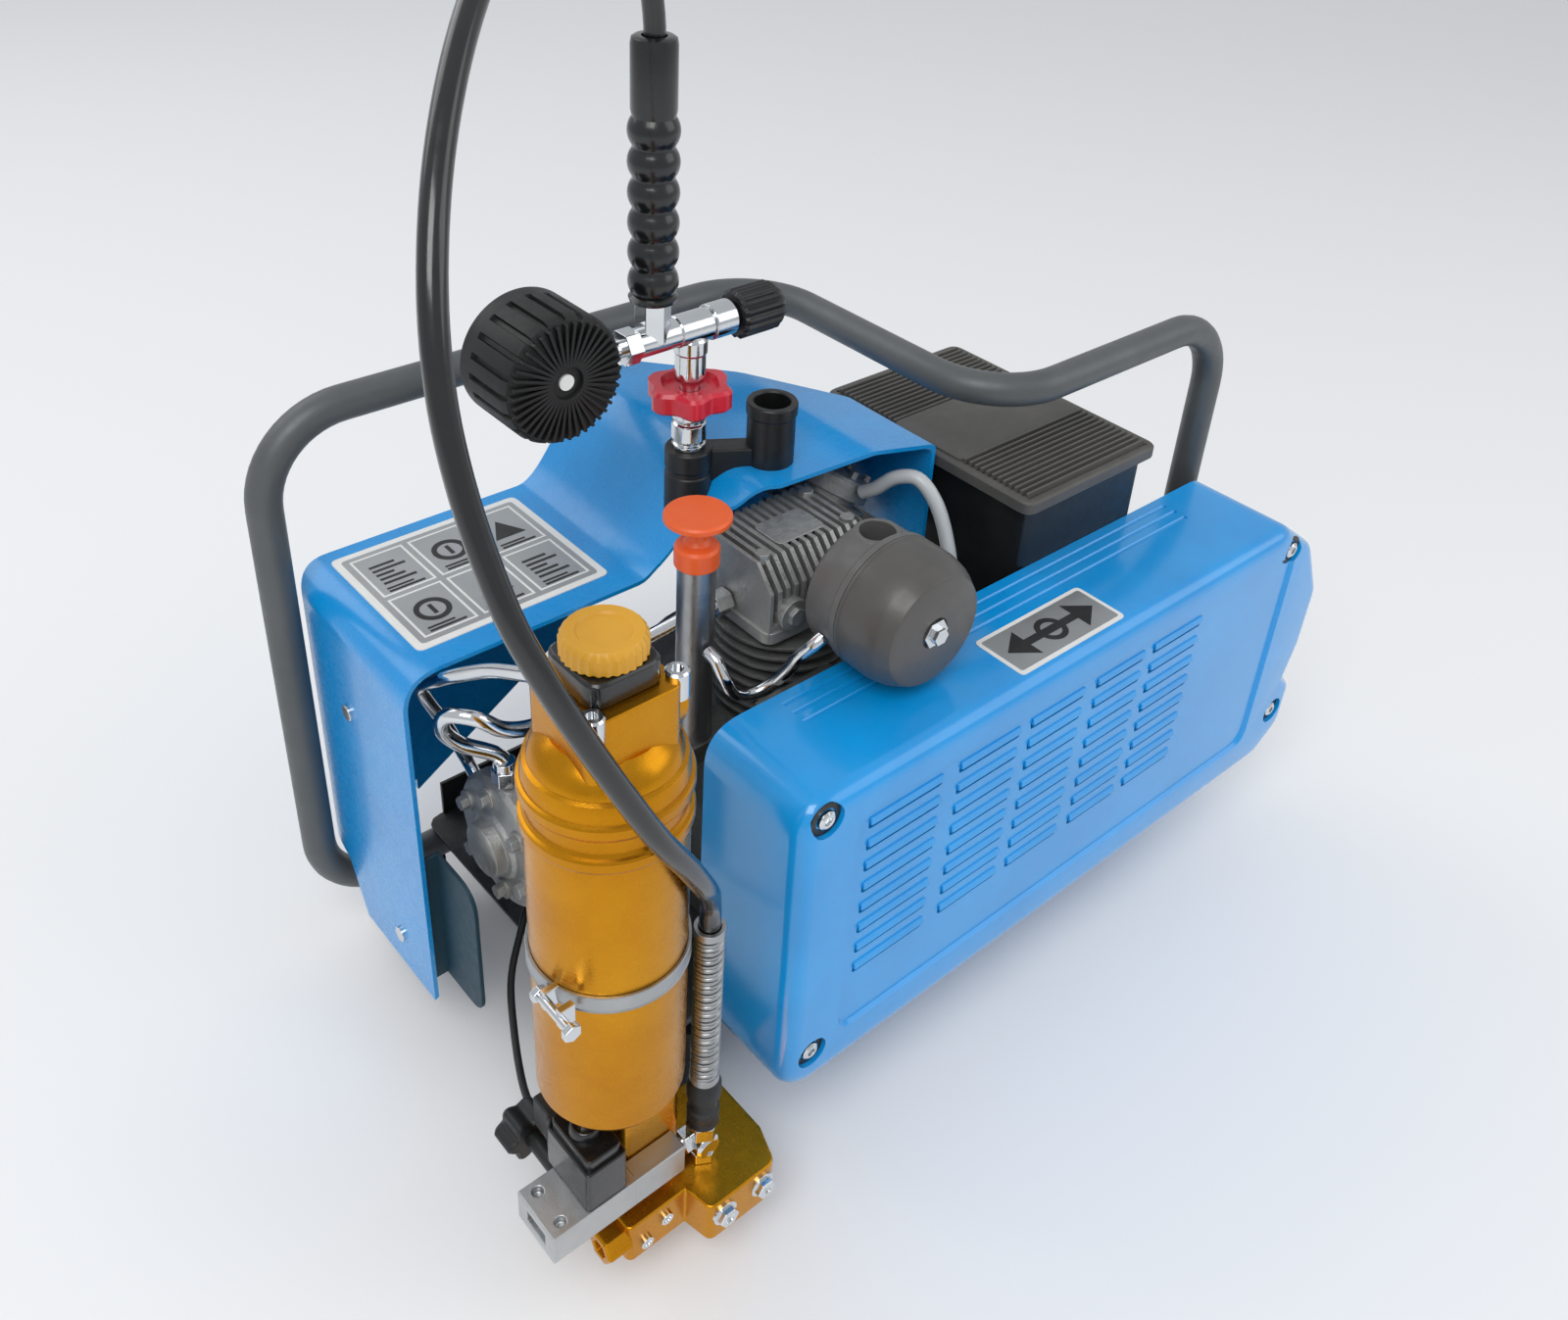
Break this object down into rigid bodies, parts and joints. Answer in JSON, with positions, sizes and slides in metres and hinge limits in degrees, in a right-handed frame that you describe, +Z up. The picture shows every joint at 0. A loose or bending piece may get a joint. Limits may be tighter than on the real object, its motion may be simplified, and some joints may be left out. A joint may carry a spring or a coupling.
{
  "type": "portable air compressor",
  "caption": "Portable high-pressure air compressor: tube carry frame, belt guard, fan cowl, finned block, filter tower and fill hose parked upright.",
  "frame": {"origin": "centre of the footprint box on the floor, under the four rubber feet", "axes": "+X along the length towards the motor end, +Y towards the rear, away from the belt guard, +Z up"},
  "size_m": [0.7111, 0.387, 0.7463],
  "materials": {
    "frame_paint": "satin powder coat",
    "black_steel": "satin",
    "rubber": "matt",
    "blue_paint": "glossy powder coat",
    "chrome": "polished",
    "cast_alloy": "as cast",
    "steel": "brushed",
    "black_plastic": "fine grain",
    "grey_plastic": "fine grain",
    "red_plastic": "gloss",
    "drum_plastic": "satin",
    "filter_paper": "pleated",
    "orange_plastic": "satin",
    "clear_hose": "milky",
    "gold_anodised": "anodised",
    "gold_plastic": "satin",
    "bare_aluminium": "machined",
    "white_paint": "satin"
  },
  "bodies": {
    "chassis": {"carry_frame": "frame_paint", "base_plate": "black_steel", "foot_rear_left": "rubber", "foot_rear_right": "rubber", "foot_front_left": "rubber", "foot_front_right": "rubber", "belt_guard": "blue_paint", "guard_screw_1": "chrome", "guard_screw_2": "chrome", "guard_screw_3": "chrome", "guard_screw_4": "chrome", "guard_backplate": "black_steel", "crankcase": "cast_alloy", "cylinder_1": "cast_alloy", "head_1": "cast_alloy", "cylinder_2": "cast_alloy", "head_2": "cast_alloy", "cylinder_3": "cast_alloy", "head_3": "cast_alloy", "drive_belt": "rubber", "motor_body": "black_steel", "control_box": "black_plastic", "cable_inlet": "black_plastic", "fan_cowl": "blue_paint", "valve_holder": "black_plastic", "intake_housing": "drum_plastic", "intake_element": "filter_paper", "oil_filler_tube": "steel", "cooler_pipe": "chrome", "stage_pipe": "chrome", "delivery_pipe": "chrome", "breather_hose": "clear_hose", "filter_housing": "gold_anodised", "filter_head": "gold_anodised", "filter_collar": "black_plastic", "clamp_band": "steel", "base_manifold": "gold_anodised", "valve_block": "bare_aluminium", "solenoid_coil": "black_plastic", "hose_elbow": "chrome", "hose_ferrule": "black_steel", "spring_guard": "steel", "fill_hose": "rubber", "hose_grip": "rubber", "valve_body": "chrome", "gauge_boot": "rubber", "gauge_case": "white_paint"},
    "crank": {"crankshaft": "steel", "flywheel": "cast_alloy"},
    "motor_rotor": {"motor_shaft": "steel", "motor_pulley": "steel"},
    "lid": {"box_lid": "grey_plastic"},
    "selector": {"selector_knob": "red_plastic"},
    "air_cover": {"intake_cover": "drum_plastic"},
    "dipstick": {"oil_dipstick": "orange_plastic"},
    "cap": {"filter_cap": "gold_plastic"},
    "drain": {"drain_knob": "black_plastic"},
    "wheel": {"handwheel": "red_plastic"},
    "bleed": {"valve_knob": "black_plastic"},
    "needle": {"gauge_needle": "red_plastic"}
  },
  "joints": [
    {"name": "crank_spin", "type": "hinge", "parent": "chassis", "child": "crank", "pos_m": [-0.0715, -0.1225, 0.19], "axis": [0, 1, 0], "continuous": true},
    {"name": "motor_spin", "type": "hinge", "parent": "chassis", "child": "motor_rotor", "pos_m": [0.1765, -0.1225, 0.158], "axis": [0, 1, 0], "continuous": true},
    {"name": "lid_lift", "type": "slide", "parent": "chassis", "child": "lid", "axis": [0, 0, 1], "range_m": [0, 0.04]},
    {"name": "selector_turn", "type": "hinge", "parent": "chassis", "child": "selector", "pos_m": [0.2055, 0.0015, 0.322], "axis": [1, 0, 0], "range_deg": [0, 90]},
    {"name": "air_cover_pull", "type": "slide", "parent": "chassis", "child": "air_cover", "axis": [0, -1, 0], "range_m": [0, 0.06]},
    {"name": "dipstick_pull", "type": "slide", "parent": "chassis", "child": "dipstick", "axis": [0, 0, 1], "range_m": [0, 0.15]},
    {"name": "cap_turn", "type": "hinge", "parent": "chassis", "child": "cap", "pos_m": [-0.2895, -0.1305, 0.458], "axis": [0, 0, 1], "range_deg": [0, 1080]},
    {"name": "drain_turn", "type": "hinge", "parent": "chassis", "child": "drain", "pos_m": [-0.3245, -0.0925, 0.099], "axis": [0, 1, 0], "range_deg": [0, 720]},
    {"name": "wheel_turn", "type": "hinge", "parent": "chassis", "child": "wheel", "pos_m": [-0.0975, 0.0555, 0.443], "axis": [0, 0, 1], "range_deg": [0, 1080]},
    {"name": "bleed_turn", "type": "hinge", "parent": "chassis", "child": "bleed", "pos_m": [-0.0495, 0.0555, 0.486], "axis": [1, 0, 0], "range_deg": [0, 720]},
    {"name": "gauge_needle_turn", "type": "hinge", "parent": "chassis", "child": "needle", "pos_m": [-0.1995, 0.0695, 0.489], "axis": [0, -1, 0], "range_deg": [0, 270], "stiffness_Nm_per_rad": 0.002}
  ],
  "couplings": [
    {"joint": "motor_spin", "follows": "crank_spin", "ratio": 3.1333}
  ]
}
